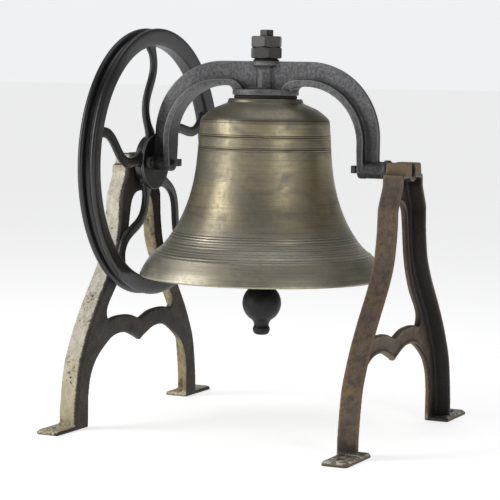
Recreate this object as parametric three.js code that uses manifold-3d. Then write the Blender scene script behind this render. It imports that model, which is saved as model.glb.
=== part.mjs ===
// Yard dinner bell: a 24-inch bronze bell hung from a cast-iron yoke that rocks on two
// A-frame stands, with a grooved rope wheel bolted to the yoke.
// Units are millimetres, +Z is up, X runs along the rocking axis (wheel at -X), and the
// origin is on the floor straight below the crown of the bell.

import * as THREE from 'three';
import * as BufferGeometryUtils from 'three/addons/utils/BufferGeometryUtils.js';
import Module from 'manifold-3d';

const wasm = await Module();
wasm.setup();

// ---- driving dimensions -------------------------------------------------------------

const GAP = 0.3; // clearance between separate pieces that rest on each other

const axisZ = 646; // height of the rocking axis

const mouthRadius = 305; // half of the 24-inch mouth
const mouthZ = 372;
const crownZ = 812; // top of the bell
const crownRadius = 91;
const crownThickness = 15;
const bellBoreRadius = 18;
const lipThickness = 21;

const gasketRadius = 78;
const yokeDiscZ = 820; // underside of the yoke's seat for the bell
const yokeDiscThickness = 15;
const yokeDiscRadius = 82;
const yokeTopZ = 904.5; // seat of the washer
const yokeTaperZ = 690; // where the legs start to round off
const yokeLegX = 304; // outer face of the yoke's legs
const yokeArcX = 117; // centre of the quarter arcs of the arch
const yokeArcZ = 717;
const yokeInnerArcZ = 706;
const yokeInnerArcRadius = 137;
const yokeFlangeThickness = 17;
const yokeFlangeWidth = 52;
const yokeWebThickness = 15;
const yokeNeckRadius = 23.5;
const yokePadRadius = 35;
const yokeEyeRadius = 21; // bosses that hold the gudgeons
const yokePlateRadius = 70; // round plate that carries the wheel
const yokePlateX = 311;
const yokePlateThickness = 8.5;
const yokePocketDepth = 4;
const yokeBarrelEndX = 320;

const boltRadius = 17; // hanger bolt
const boltTopZ = 966;
const stubTopZ = 981;
const stubWidth = 23;
const stubTurn = -20; // degrees
const hangerHeadRadius = 32;
const crownWasherRadius = 44;
const crownWasherThickness = 5;
const washerRadius = 33;
const washerBevel = 5;
const washerTopZ = 910.5;
const nutAcrossFlats = 70;
const nutHeight = 27;

const clapperPivotZ = 765;
const clapperEyeRadius = 15;
const clapperBallZ = 305;
const clapperBallRadius = 48.5;
const clapperTailRadius = 21.5;
const clapperTailZ = 225;
const pinRadius = 6;
const pinHeadAcrossFlats = 20;
const clevisGap = 18; // room between the clevis cheeks
const clevisCheek = 9;
const clevisRadius = 18;

const wheelX = -314.5; // middle plane of the wheel
const wheelRadius = 337;
const wheelRimWidth = 48;
const wheelRimDepth = 44;
const wheelGrooveDepth = 16;
const wheelHubRadius = 67;
const wheelHubOuterX = -331;
const spokeCount = 5;
const spokeWidth = 26;
const spokeThickness = 14;
const spokeCurve = 20; // sideways reach of the S from its middle line
const wheelBoltOffset = 45;
const wheelBoltRadius = 6;
const wheelBoltHead = 24; // across its square
const wheelBoltHeadThickness = 7.5;
const wheelNutAcrossFlats = 28;
const wheelNutThickness = 11;

const journalRadius = 12;
const gudgeonCollarRadius = 25;
const gudgeonEndX = 388;
const gudgeonBoltRadius = 6;
const gudgeonBoltHead = 18.5; // across its square
const gudgeonBoltHeadThickness = 11;
const gudgeonBoltStandoff = 8; // from the head to the inner face of the eye
const gudgeonBoltReach = 28; // length of the bolt beyond the inner face of the eye
const eyeInnerX = yokeArcX + yokeInnerArcRadius; // inner faces of the yoke's eyes
const eyeWall = 6;

const standFaceX = 341.5; // inner face of each stand
const standWeb = 13;
const standFlangeWidth = 51;
const standFlangeThickness = 13;
const headWidth = 53; // along X
const headShelfZ = 640;
const headTopZ = 667;
const troughRadius = 12.4;
const troughOuterRadius = 24;
const legInnerY = 260;
const legOuterY = 318;
const toeY = 409;
const footWidth = 64;
const footThickness = 12;
const footHoleRadius = 8;

// ---- materials ------------------------------------------------------------------------

function metal(name, color, roughness, metalness) {
  return new THREE.MeshStandardMaterial({ name, color, roughness, metalness });
}

const materials = {
  bronze: metal('bell_bronze', 0x8c7f5c, 0.42, 0.9),
  darkIron: metal('dark_cast_iron', 0x3b3a3c, 0.6, 0.6),
  blackIron: metal('black_iron', 0x1c1b1c, 0.55, 0.5),
  paintedIron: metal('worn_painted_iron', 0x8f8672, 0.75, 0.2),
  rustyIron: metal('rusted_painted_iron', 0x5b4a3a, 0.8, 0.2),
  leather: metal('gasket_leather', 0x1d1713, 0.9, 0.0),
};

// ---- solids ---------------------------------------------------------------------------

// Turns a closed three.js geometry into a manifold-3d solid whose faces point outwards.
function solid(geometry) {
  const bare = geometry.index ? geometry.toNonIndexed() : geometry.clone();
  bare.deleteAttribute('normal');
  bare.deleteAttribute('uv');
  const merged = BufferGeometryUtils.mergeVertices(bare, 1e-3);
  const position = merged.getAttribute('position').array;
  const index = merged.index.array;
  const triangles = [];
  const corners = [new THREE.Vector3(), new THREE.Vector3(), new THREE.Vector3()];
  let volume = 0;
  for (let i = 0; i < index.length; i += 3) {
    const [a, b, c] = [index[i], index[i + 1], index[i + 2]];
    if (a === b || b === c || c === a) continue;
    triangles.push([a, b, c]);
    corners.forEach((corner, k) => corner.fromArray(position, 3 * index[i + k]));
    volume += corners[0].dot(corners[1].clone().cross(corners[2]));
  }
  const outward = volume > 0 ? triangles : triangles.map(([a, b, c]) => [a, c, b]);
  return new wasm.Manifold(
    new wasm.Mesh({
      numProp: 3,
      vertProperties: new Float32Array(position),
      triVerts: new Uint32Array(outward.flat()),
    }),
  );
}

function join(...solids) {
  return solids.reduce((sum, part) => sum.add(part));
}

function mesh(name, body, material) {
  const result = body.getMesh();
  const geometry = new THREE.BufferGeometry();
  geometry.setAttribute('position', new THREE.BufferAttribute(result.vertProperties, 3));
  geometry.setIndex(new THREE.BufferAttribute(result.triVerts, 1));
  geometry.computeVertexNormals();
  const item = new THREE.Mesh(geometry, material);
  item.name = name;
  return item;
}

const axisX = new THREE.Vector3(1, 0, 0);
const axisY = new THREE.Vector3(0, 1, 0);
const axisUp = new THREE.Vector3(0, 0, 1);

function toShape(points) {
  return new THREE.Shape(points.map(([x, y]) => new THREE.Vector2(x, y)));
}

// Plate whose outline is given as [Y, Z] points, running from x0 to x1.
function plateAlongX(points, x0, x1) {
  const geometry = new THREE.ExtrudeGeometry(toShape(points), { depth: x1 - x0, bevelEnabled: false });
  geometry.applyMatrix4(new THREE.Matrix4().makeBasis(axisY, axisUp, axisX));
  return solid(geometry.translate(x0, 0, 0));
}

// Plate whose outline is given as [X, Z] points, centred on Y = 0.
function plateAlongY(points, width) {
  const geometry = new THREE.ExtrudeGeometry(toShape(points), { depth: width, bevelEnabled: false });
  geometry.applyMatrix4(new THREE.Matrix4().makeBasis(axisX, axisUp, axisY.clone().negate()));
  return solid(geometry.translate(0, width / 2, 0));
}

// Plate whose outline is given as [X, Y] points, running from z0 to z1.
function plateAlongZ(points, z0, z1) {
  const geometry = new THREE.ExtrudeGeometry(toShape(points), { depth: z1 - z0, bevelEnabled: false });
  return solid(geometry.translate(0, 0, z0));
}

// Turned piece: profile points are [radius, Z].
function turnedAlongZ(profile, segments = 32) {
  const points = profile.map(([radius, z]) => new THREE.Vector2(radius, z));
  return solid(new THREE.LatheGeometry(points, segments).rotateX(Math.PI / 2));
}

// Turned piece on the line Y = y, Z = z: profile points are [radius, X].
function turnedAlongX(profile, y = 0, z = axisZ, segments = 32) {
  const points = profile.map(([radius, x]) => new THREE.Vector2(radius, x));
  return solid(new THREE.LatheGeometry(points, segments).rotateZ(-Math.PI / 2).translate(0, y, z));
}

function rodAlongX(radius, x0, x1, y = 0, z = axisZ, segments = 32) {
  return turnedAlongX([[0, x0], [radius, x0], [radius, x1], [0, x1]], y, z, segments);
}

function rodAlongZ(radius, z0, z1, segments = 32) {
  return turnedAlongZ([[0, z0], [radius, z0], [radius, z1], [0, z1]], segments);
}

// Smooth run of points through the given ones.
function smooth(points, count) {
  const curve = new THREE.SplineCurve(points.map(([x, y]) => new THREE.Vector2(x, y)));
  return curve.getPoints(count).map((point) => [point.x, point.y]);
}

// Points of a circular arc, with angles in degrees from the first axis.
function arc(centreA, centreB, radius, from, to, count) {
  return Array.from({ length: count + 1 }, (_, i) => {
    const angle = THREE.MathUtils.degToRad(from + ((to - from) * i) / count);
    return [centreA + radius * Math.cos(angle), centreB + radius * Math.sin(angle)];
  });
}

const mirrored = (points) => points.map(([a, b]) => [-a, b]).reverse();

function square(width, turn = 0) {
  return arc(0, 0, width / Math.SQRT2, 45 + turn, 315 + turn, 3);
}

// Regular hexagon, given across its flats.
function hexagon(acrossFlats, turn = 0) {
  const radius = acrossFlats / Math.sqrt(3);
  return arc(0, 0, radius, turn, turn + 300, 5);
}

// ---- bell and what holds it -------------------------------------------------------------

// Shoulder, waist and bevelled lip of the bell from the crown down, as [radius, Z].
const bellOutside = [
  ...smooth([[97, 800], [109, 795], [129, 786], [148, 772], [158, 762]], 4),
  ...smooth([[160, 757], [163, 718], [166, 675], [171, 629], [180, 584], [194, 540], [215, 495],
    [245, 452], [274, 427]], 13),
  ...smooth([[281, 417], [295, 396], [303, 380]], 2),
];

const bellInside = [
  ...smooth([[276, 380], [262, 400], [250, 425], [227, 452], [200, 495], [180, 540], [166, 584],
    [157, 629], [152, 675], [148, 735]], 10),
  ...smooth([[142, 757], [126, 777], [106, 790], [90, crownZ - crownThickness]], 3),
];

function bell() {
  const profile = [
    [bellBoreRadius, crownZ],
    [crownRadius, crownZ],
    [crownRadius + 3, crownZ - 5],
    ...bellOutside,
    [mouthRadius, mouthZ + 3],
    [mouthRadius - 2, mouthZ],
    [mouthRadius - lipThickness, mouthZ],
    ...bellInside,
    [bellBoreRadius, crownZ - crownThickness],
    [bellBoreRadius, crownZ],
  ];
  return mesh('bell', turnedAlongZ(profile, 48), materials.bronze);
}

function crownGasket() {
  const ring = rodAlongZ(gasketRadius, crownZ + GAP, yokeDiscZ - GAP, 40)
    .subtract(rodAlongZ(bellBoreRadius, crownZ - 1, yokeDiscZ + 1));
  return mesh('crown_gasket', ring, materials.leather);
}

const clevisOuterX = clevisGap / 2 + clevisCheek;
const crownWasherTopZ = crownZ - crownThickness - GAP;
const crownWasherZ = crownWasherTopZ - crownWasherThickness;

// Space for the clapper's pin.
function pinHole() {
  return rodAlongX(pinRadius + GAP, -clevisOuterX - 20, clevisOuterX + 20, 0, clapperPivotZ, 24);
}

function crownWasher() {
  const ring = rodAlongZ(crownWasherRadius, crownWasherZ, crownWasherTopZ, 40)
    .subtract(rodAlongZ(bellBoreRadius, crownWasherZ - 1, crownWasherTopZ + 1));
  return mesh('crown_washer', ring, materials.blackIron);
}

// The bolt that hangs the bell: round head and clevis inside the bell, thread through
// crown and yoke, and a squared end on top.
function hangerBolt() {
  const headTop = crownWasherZ - GAP;
  const headBottom = clapperPivotZ + clapperEyeRadius + 1.5;
  const cheekX = clevisGap / 2;
  const cheek = [
    [-clevisRadius, headBottom + 1],
    ...arc(0, clapperPivotZ, clevisRadius, 180, 360, 12),
    [clevisRadius, headBottom + 1],
  ];
  const body = join(
    rodAlongZ(hangerHeadRadius, headBottom, headTop, 32),
    rodAlongZ(boltRadius, headTop - 1, boltTopZ, 28),
    plateAlongZ(square(stubWidth, stubTurn), boltTopZ - 1, stubTopZ),
    plateAlongX(cheek, cheekX, cheekX + clevisCheek),
    plateAlongX(cheek, -cheekX - clevisCheek, -cheekX),
  );
  return mesh('hanger_bolt', body.subtract(pinHole()), materials.darkIron);
}

function yokeWasher() {
  const bottom = yokeTopZ + GAP;
  const ring = turnedAlongZ([
    [boltRadius + GAP, bottom],
    [washerRadius, bottom],
    [washerRadius, bottom + 1],
    [washerRadius - washerBevel, washerTopZ],
    [boltRadius + GAP, washerTopZ],
    [boltRadius + GAP, bottom],
  ]);
  return mesh('yoke_washer', ring, materials.darkIron);
}

// Hexagon nut with both faces chamfered, threaded on the hanger bolt.
function hangerNut(name, bottom, turn) {
  const top = bottom + nutHeight;
  const corner = nutAcrossFlats / Math.sqrt(3);
  const chamfer = turnedAlongZ([
    [0, bottom], [corner - 5, bottom], [corner + 0.2, bottom + 3],
    [corner + 0.2, top - 3], [corner - 5, top], [0, top],
  ]);
  const nut = plateAlongZ(hexagon(nutAcrossFlats, turn), bottom - 1, top + 1)
    .intersect(chamfer)
    .subtract(rodAlongZ(boltRadius + GAP, bottom - 2, top + 2, 28));
  return mesh(name, nut, materials.darkIron);
}

// ---- clapper ------------------------------------------------------------------------------

function clapper() {
  const shank = [
    [0, clapperPivotZ - 9],
    [8, clapperPivotZ - 10],
    [11, clapperPivotZ - 60],
    [13, clapperBallZ + 120],
    [17, clapperBallZ + clapperBallRadius + 2],
  ];
  const ball = arc(0, clapperBallZ, clapperBallRadius, 66, -62, 9);
  const tail = [
    [clapperTailRadius - 3, clapperBallZ - clapperBallRadius - 4],
    [clapperTailRadius, clapperTailZ + 24],
    [clapperTailRadius, clapperTailZ + 10],
    [clapperTailRadius - 6, clapperTailZ + 2],
    [clapperTailRadius - 12, clapperTailZ],
    [0, clapperTailZ],
  ];
  const eyeHalf = clevisGap / 2 - 1;
  const body = turnedAlongZ([...shank, ...ball, ...tail], 24)
    .add(rodAlongX(clapperEyeRadius, -eyeHalf, eyeHalf, 0, clapperPivotZ, 28))
    .subtract(pinHole());
  return mesh('clapper', body, materials.blackIron);
}

function clapperPin() {
  const pin = plateAlongX(hexagon(pinHeadAcrossFlats), clevisOuterX + GAP, clevisOuterX + 8)
    .translate(0, 0, clapperPivotZ)
    .add(rodAlongX(pinRadius, -clevisOuterX - 12, clevisOuterX + 1, 0, clapperPivotZ, 24));
  return mesh('clapper_pin', pin, materials.blackIron);
}

function clapperPinNut() {
  const nut = plateAlongX(hexagon(pinHeadAcrossFlats), -clevisOuterX - 9, -clevisOuterX - GAP)
    .translate(0, 0, clapperPivotZ)
    .subtract(pinHole());
  return mesh('clapper_pin_nut', nut, materials.blackIron);
}

// ---- yoke ---------------------------------------------------------------------------------

const yokeDiscTop = yokeDiscZ + yokeDiscThickness;

// Web of the arch in [X, Z]: the outer edge of one half, and its inner edge down to the seat.
function yokeWeb() {
  const outer = [
    [yokeLegX, axisZ],
    ...arc(yokeArcX, yokeArcZ, yokeLegX - yokeArcX, 0, 90, 14),
  ];
  const inner = [
    [yokeArcX + yokeInnerArcRadius + 2, axisZ],
    ...arc(yokeArcX, yokeInnerArcZ, yokeInnerArcRadius + 2, 0, 90, 12),
    [yokeDiscRadius + 5, yokeInnerArcZ + yokeInnerArcRadius + 2],
    [yokeDiscRadius - 8, yokeDiscTop - 1],
  ];
  return plateAlongY([...outer, ...mirrored(outer), ...mirrored(inner).reverse(), ...inner.reverse()],
    yokeWebThickness);
}

// Flange along the inner edge of one half of the arch, sweeping down to the bell seat.
function yokeFlange() {
  const inner = yokeInnerArcRadius;
  const outer = inner + yokeFlangeThickness;
  const underside = yokeInnerArcZ + inner;
  const topside = yokeInnerArcZ + outer;
  return plateAlongY([
    ...arc(yokeArcX, yokeInnerArcZ, inner, 0, 90, 12),
    ...smooth([[91, underside], [82, underside - 4], [79, yokeDiscTop - 2]], 4),
    ...smooth([[53, yokeDiscTop - 2], [60, 846], [72, 855], [88, topside]], 6),
    ...arc(yokeArcX, yokeInnerArcZ, outer, 90, 0, 12),
  ], yokeFlangeWidth);
}

// Foot of a leg: the flange narrows and rounds off about the rocking axis.
function yokeLegFoot() {
  const wide = yokeFlangeWidth / 2;
  return plateAlongX([
    [-wide, yokeInnerArcZ + 1],
    [-wide, yokeTaperZ],
    ...arc(0, axisZ, yokeEyeRadius + 1, 180, 360, 14),
    [wide, yokeTaperZ],
    [wide, yokeInnerArcZ + 1],
  ], eyeInnerX, eyeInnerX + yokeFlangeThickness);
}

// Pocket in the upper half of the wheel plate, leaving its rim and the leg standing proud.
function platePocket() {
  const floorX = -yokePlateX + yokePlateThickness - yokePocketDepth;
  const half = plateAlongX(arc(0, axisZ + 18, yokePlateRadius - 25, 0, 180, 16), floorX,
    floorX + yokePocketDepth + 1);
  const leg = yokeWebThickness / 2 + 1;
  const strip = [[-leg, axisZ], [leg, axisZ], [leg, axisZ + 90], [-leg, axisZ + 90]];
  return half.subtract(plateAlongX(strip, floorX - 1, floorX + yokePocketDepth + 2));
}

function yoke() {
  const flange = yokeFlange().add(yokeLegFoot());
  const body = join(
    yokeWeb(),
    flange,
    flange.mirror([1, 0, 0]),
    rodAlongZ(yokeDiscRadius, yokeDiscZ, yokeDiscTop, 48),
    rodAlongZ(yokeNeckRadius, yokeDiscTop - 1, yokeTopZ - 1, 28),
    turnedAlongZ([[0, yokeTopZ - 20], [yokeNeckRadius, yokeTopZ - 20], [yokePadRadius, yokeTopZ - 10],
      [yokePadRadius, yokeTopZ - 6], [yokePadRadius - 1.5, yokeTopZ], [0, yokeTopZ]]),
    rodAlongX(yokeEyeRadius, eyeInnerX, yokeBarrelEndX),
    rodAlongX(yokeEyeRadius, -yokePlateX, -eyeInnerX),
    rodAlongX(yokePlateRadius, -yokePlateX, -yokePlateX + yokePlateThickness, 0, axisZ, 48),
  );
  const bore = eyeInnerX + eyeWall;
  const cuts = join(
    rodAlongZ(boltRadius + GAP, yokeDiscZ - 1, yokeTopZ + 2, 28),
    rodAlongX(journalRadius + GAP, bore, yokeBarrelEndX + 1),
    rodAlongX(journalRadius + GAP, -yokePlateX - 1, -bore),
    rodAlongX(gudgeonBoltRadius + GAP, eyeInnerX - 1, bore + 1, 0, axisZ, 20),
    rodAlongX(gudgeonBoltRadius + GAP, -bore - 1, -eyeInnerX + 1, 0, axisZ, 20),
    wheelBoltHole(-1),
    wheelBoltHole(1),
    platePocket(),
  );
  return mesh('yoke', body.subtract(cuts), materials.darkIron);
}

// ---- gudgeons -------------------------------------------------------------------------------

// Turned pin that carries one end of the yoke, with a collar between two distances from
// the middle of the bell.
function gudgeon(name, side, collarInner, collarOuter) {
  const start = eyeInnerX + eyeWall + GAP;
  const threadEnd = eyeInnerX + gudgeonBoltReach + 4;
  const profile = [
    [gudgeonBoltRadius + GAP, start],
    [journalRadius, start],
    [journalRadius, collarInner],
    [gudgeonCollarRadius - 2, collarInner],
    [gudgeonCollarRadius, collarInner + 2],
    [gudgeonCollarRadius, collarOuter - 2],
    [gudgeonCollarRadius - 2, collarOuter],
    [journalRadius, collarOuter],
    [journalRadius, gudgeonEndX - 2],
    [journalRadius - 2, gudgeonEndX],
    [0, gudgeonEndX],
    [0, threadEnd],
    [gudgeonBoltRadius + GAP, threadEnd],
    [gudgeonBoltRadius + GAP, start],
  ];
  const item = mesh(name, turnedAlongX(profile, 0, 0, 24), materials.darkIron);
  item.position.z = axisZ;
  item.rotation.z = side > 0 ? 0 : Math.PI;
  return item;
}

// Square-headed bolt that draws a gudgeon into its eye.
function gudgeonBolt(name, side) {
  const seat = eyeInnerX - gudgeonBoltStandoff;
  const body = plateAlongX(square(gudgeonBoltHead), seat - gudgeonBoltHeadThickness, seat)
    .add(rodAlongX(gudgeonBoltRadius, seat - 1, eyeInnerX + gudgeonBoltReach, 0, 0, 20));
  const item = mesh(name, body, materials.blackIron);
  item.position.z = axisZ;
  item.rotation.z = side > 0 ? 0 : Math.PI;
  return item;
}

// ---- rope wheel -------------------------------------------------------------------------------

// Sideways sweep of a spoke's centre line at a distance from the axle.
function spokeSway(radius) {
  return spokeCurve * (1 + Math.cos((Math.PI * (radius - 135)) / 110));
}

// One S-curved spoke in [Y, Z] about the axle, leaving the hub at the given angle.
function spokeOutline(angle) {
  const from = wheelHubRadius - 20;
  const to = wheelRadius - wheelRimDepth + 8;
  const steps = 13;
  const centre = Array.from({ length: steps + 1 }, (_, i) => {
    const radius = from + ((to - from) * i) / steps;
    return new THREE.Vector2(-spokeSway(radius), radius);
  });
  const edge = (side) => centre.map((point, i) => {
    const before = centre[Math.max(i - 1, 0)];
    const after = centre[Math.min(i + 1, steps)];
    const along = after.clone().sub(before).normalize();
    const across = new THREE.Vector2(along.y, -along.x).multiplyScalar((side * spokeWidth) / 2);
    return point.clone().add(across);
  });
  const origin = new THREE.Vector2(0, 0);
  return [...edge(1), ...edge(-1).reverse()]
    .map((point) => point.rotateAround(origin, angle))
    .map((point) => [point.x, point.y + axisZ]);
}

function wheel() {
  const half = wheelRimWidth / 2;
  const inner = wheelRadius - wheelRimDepth;
  const groove = wheelRadius - wheelGrooveDepth;
  const section = [
    [inner, -half + 8],
    [inner + 6, -half + 1],
    [wheelRadius - 4, -half],
    [wheelRadius, -half + 4],
    [wheelRadius - 2, -half + 8],
    ...smooth([[groove + 4, -10], [groove, 0], [groove + 4, 10]], 4),
    [wheelRadius - 2, half - 8],
    [wheelRadius, half - 4],
    [wheelRadius - 4, half],
    [inner + 6, half - 1],
    [inner, half - 8],
    [inner, -half + 8],
  ].map(([radius, x]) => [radius, x + wheelX]);
  const spokes = Array.from({ length: spokeCount }, (_, i) =>
    plateAlongX(spokeOutline((2 * Math.PI * i) / spokeCount), wheelX - spokeThickness / 2,
      wheelX + spokeThickness / 2));
  const hubInnerX = -yokePlateX - GAP;
  const cuts = join(
    rodAlongX(journalRadius + GAP, wheelHubOuterX - 1, hubInnerX + 1),
    rodAlongX(yokePlateRadius + 1, hubInnerX, hubInnerX + 5, 0, axisZ, 48),
    wheelBoltHole(-1),
    wheelBoltHole(1),
  );
  const body = join(
    turnedAlongX(section, 0, axisZ, 60),
    rodAlongX(wheelHubRadius, wheelHubOuterX, hubInnerX, 0, axisZ, 44),
    ...spokes,
  );
  return mesh('wheel', body.subtract(cuts), materials.blackIron);
}

const wheelNutX = -yokePlateX + yokePlateThickness + GAP;

// Clearance hole for one of the two bolts through hub, plate and nut.
function wheelBoltHole(side) {
  const y = side * wheelBoltOffset;
  return rodAlongX(wheelBoltRadius + GAP, wheelHubOuterX - 1, wheelNutX + 20, y, axisZ, 20);
}

function wheelBolt(name, side) {
  const y = side * wheelBoltOffset;
  const headX = wheelHubOuterX - wheelBoltHeadThickness;
  const body = plateAlongX(square(wheelBoltHead), headX, wheelHubOuterX - GAP)
    .translate(0, y, axisZ)
    .add(rodAlongX(wheelBoltRadius, wheelHubOuterX - 1, wheelNutX + wheelNutThickness + 4, y, axisZ, 20));
  return mesh(name, body, materials.blackIron);
}

function wheelNut(name, side) {
  const nut = plateAlongX(hexagon(wheelNutAcrossFlats), wheelNutX, wheelNutX + wheelNutThickness)
    .translate(0, side * wheelBoltOffset, axisZ)
    .subtract(wheelBoltHole(side));
  return mesh(name, nut, materials.blackIron);
}

// ---- stands -------------------------------------------------------------------------------------

// Outer edge of a leg from the head down to the foot, as [Y, Z].
const legOutside = [
  [70, headShelfZ],
  [72, 612],
  [84, 590],
  [100, 562],
  ...smooth([[101, 535], [107, 482], [121, 430], [153, 378], [206, 312], [247, 256], [276, 207],
    [298, 160], [310, 105], [legOuterY, 45]], 26),
  [legOuterY, 0],
];

// Underside of half the crossbar and the inner edge of the leg below it.
const lowerOpening = [
  ...smooth([[0, 187], [21, 197], [74, 214], [132, 213], [178, 194], [224, 162], [250, 123],
    [legInnerY, 79]], 18),
  [legInnerY, 0],
];

// Half of the tall opening above the crossbar, from its top round to the notch.
const upperOpening = [
  ...smooth([[0, 572], [30, 567], [49, 551], [59, 523], [73, 449], [89, 399], [118, 347], [158, 303],
    [172, 281], [171, 265]], 22),
  ...smooth([[165, 254], [130, 260], [95, 261], [50, 257], [0, 242]], 8),
];

// Moves an open run of points sideways by a distance, to its left.
function offset(points, distance) {
  return points.map(([a, b], i) => {
    const before = points[Math.max(i - 1, 0)];
    const after = points[Math.min(i + 1, points.length - 1)];
    const length = Math.hypot(after[0] - before[0], after[1] - before[1]);
    const shift = distance / length;
    return [a + (after[1] - before[1]) * shift, b - (after[0] - before[0]) * shift];
  });
}

function standWebPlate() {
  const halfOutline = [...legOutside, ...lowerOpening.slice().reverse()];
  const outline = [...halfOutline, ...mirrored(halfOutline.slice(0, -1))];
  const opening = [...upperOpening, ...mirrored(upperOpening.slice(1, -1))];
  return plateAlongX(outline, standFaceX, standFaceX + standWeb)
    .subtract(plateAlongX(opening, standFaceX - 1, standFaceX + standWeb + 1));
}

function standFlange() {
  const inside = offset(legOutside, standFlangeThickness).reverse();
  return plateAlongX([...legOutside, ...inside], standFaceX, standFaceX + standFlangeWidth);
}

// Foot plate in [X, Y]: square against the web, rounded at the outer corners.
function foot() {
  const outerX = standFaceX + footWidth;
  const corner = 12;
  const small = 4;
  const plate = plateAlongZ([
    [standFaceX, legInnerY],
    [outerX, legInnerY],
    ...arc(outerX - corner, toeY - corner, corner, 0, 90, 5),
    ...arc(standFaceX + small, toeY - small, small, 90, 180, 3),
  ], 0, footThickness);
  const hole = rodAlongZ(footHoleRadius, -1, footThickness + 1, 24)
    .translate(standFaceX + footWidth / 2, (legOuterY + toeY) / 2, 0);
  return plate.subtract(hole);
}

// Bearing head: a shelf across the tops of the legs and a block with an open trough.
function standHead() {
  const shelfZ = headShelfZ - 10;
  const half = [[60, shelfZ], [60, headShelfZ], [55, headShelfZ], [48, headTopZ]];
  const block = plateAlongX([...half, ...mirrored(half)], standFaceX, standFaceX + headWidth);
  return block.add(rodAlongX(troughOuterRadius, standFaceX, standFaceX + headWidth));
}

function stand(name, material, side) {
  const flange = standFlange();
  const footPlate = foot();
  const slot = [
    ...arc(0, axisZ, troughRadius, 180, 360, 12),
    [troughRadius, headTopZ + 5],
    [-troughRadius, headTopZ + 5],
  ];
  const body = join(
    standWebPlate(),
    flange,
    flange.mirror([0, 1, 0]),
    footPlate,
    footPlate.mirror([0, 1, 0]),
    standHead(),
  ).subtract(plateAlongX(slot, standFaceX - 1, standFaceX + headWidth + 1));
  const item = mesh(name, body, material);
  item.rotation.z = side > 0 ? 0 : Math.PI;
  return item;
}

// ---- assembly ---------------------------------------------------------------------------------------

const lowerNutZ = washerTopZ + GAP;
const upperNutZ = lowerNutZ + nutHeight + GAP;

const dinnerBell = new THREE.Group();
dinnerBell.add(
  stand('stand_left', materials.paintedIron, -1),
  stand('stand_right', materials.rustyIron, 1),
  yoke(),
  wheel(),
  wheelBolt('wheel_bolt_front', -1),
  wheelBolt('wheel_bolt_rear', 1),
  wheelNut('wheel_nut_front', -1),
  wheelNut('wheel_nut_rear', 1),
  gudgeon('gudgeon_left', -1, -wheelHubOuterX + GAP, 338),
  gudgeon('gudgeon_right', 1, yokeBarrelEndX + GAP, 333),
  gudgeonBolt('gudgeon_bolt_left', -1),
  gudgeonBolt('gudgeon_bolt_right', 1),
  bell(),
  crownGasket(),
  crownWasher(),
  hangerBolt(),
  yokeWasher(),
  hangerNut('clamp_nut', lowerNutZ, 4),
  hangerNut('lock_nut', upperNutZ, -12),
  clapper(),
  clapperPin(),
  clapperPinNut(),
);

export default dinnerBell;
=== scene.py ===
"""Looks of the yard dinner bell: turned bronze bell, cast yoke, rope wheel and painted stands."""

import math

import bmesh
import bpy
from mathutils import Matrix, Vector
from mathutils.geometry import interpolate_bezier


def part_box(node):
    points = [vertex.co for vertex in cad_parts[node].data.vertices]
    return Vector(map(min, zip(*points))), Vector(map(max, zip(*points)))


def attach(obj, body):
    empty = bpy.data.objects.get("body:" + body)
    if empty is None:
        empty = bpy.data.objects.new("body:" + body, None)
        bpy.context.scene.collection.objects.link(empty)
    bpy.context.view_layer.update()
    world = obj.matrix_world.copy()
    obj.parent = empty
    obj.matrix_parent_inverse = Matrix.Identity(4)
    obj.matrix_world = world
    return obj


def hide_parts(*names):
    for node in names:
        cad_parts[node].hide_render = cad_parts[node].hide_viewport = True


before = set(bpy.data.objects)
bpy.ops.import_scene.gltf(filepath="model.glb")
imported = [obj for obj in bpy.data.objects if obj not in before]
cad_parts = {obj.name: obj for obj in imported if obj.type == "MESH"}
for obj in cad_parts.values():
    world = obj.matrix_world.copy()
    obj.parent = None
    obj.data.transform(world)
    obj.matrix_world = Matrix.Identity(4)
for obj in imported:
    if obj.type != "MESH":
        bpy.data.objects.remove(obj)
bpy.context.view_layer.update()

MM = 0.001


# ---- driving dimensions, in millimetres ----

X, Y, Z = 0, 1, 2
GAP = 0.3


def node_span(node, axis):
    """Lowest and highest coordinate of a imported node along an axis."""
    low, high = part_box(node)
    return low[axis] / MM, high[axis] / MM


def middle(span):
    """Half way between the two ends of a span."""
    return sum(span) / 2


def half_length(span):
    """Half the distance between the two ends of a span."""
    return (span[1] - span[0]) / 2


# the rocking axis and the clapper's pin
AXIS_Z = middle(node_span("wheel", Z))
PIVOT_Z = 765

# bell: mouth, crown, and the heights where its colour changes
MOUTH_R = node_span("bell", X)[1]
MOUTH_Z, CROWN_Z = node_span("bell", Z)
BELL_WALL, CROWN_R, CROWN_BORE = 15, 91, 18
LIP_TOP_Z, FLARE_TOP_Z, SHOULDER_Z = 428, 540, 756

# yoke: web and flange of the arch, foot on the bell, boss, wheel plate and barrels
LEG_X, ARCH_X, ARCH_Z = 304, 117, 717
INNER_Z, INNER_R, FLANGE, FLANGE_WIDE, WEB = 706, 137, 17, 52, 15
EYE_X, EYE_R, EYE_WALL, BARREL_X = ARCH_X + INNER_R, 21, 6, 320
DISC_LOW, DISC_TOP, DISC_R = 820, 835, 82
NECK_R, BOSS_R, YOKE_TOP = 23.5, 35, node_span("yoke", Z)[1]
PLATE_X, PLATE_THICK, PLATE_R = 311, 8.5, 70

# rope wheel
WHEEL_MID, WHEEL_HALF = middle(node_span("wheel", X)), half_length(node_span("wheel", X))
WHEEL_R = half_length(node_span("wheel", Z))
RIM_DEPTH, GROOVE = 44, 17
HUB_R, HUB_OUTER = 67, -331
SPOKES, SPOKE_WIDE, SPOKE_THICK, SPOKE_SWAY = 5, 26, 14, 20
WHEEL_BLACK = (0.0045, 0.0045, 0.0048)

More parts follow.
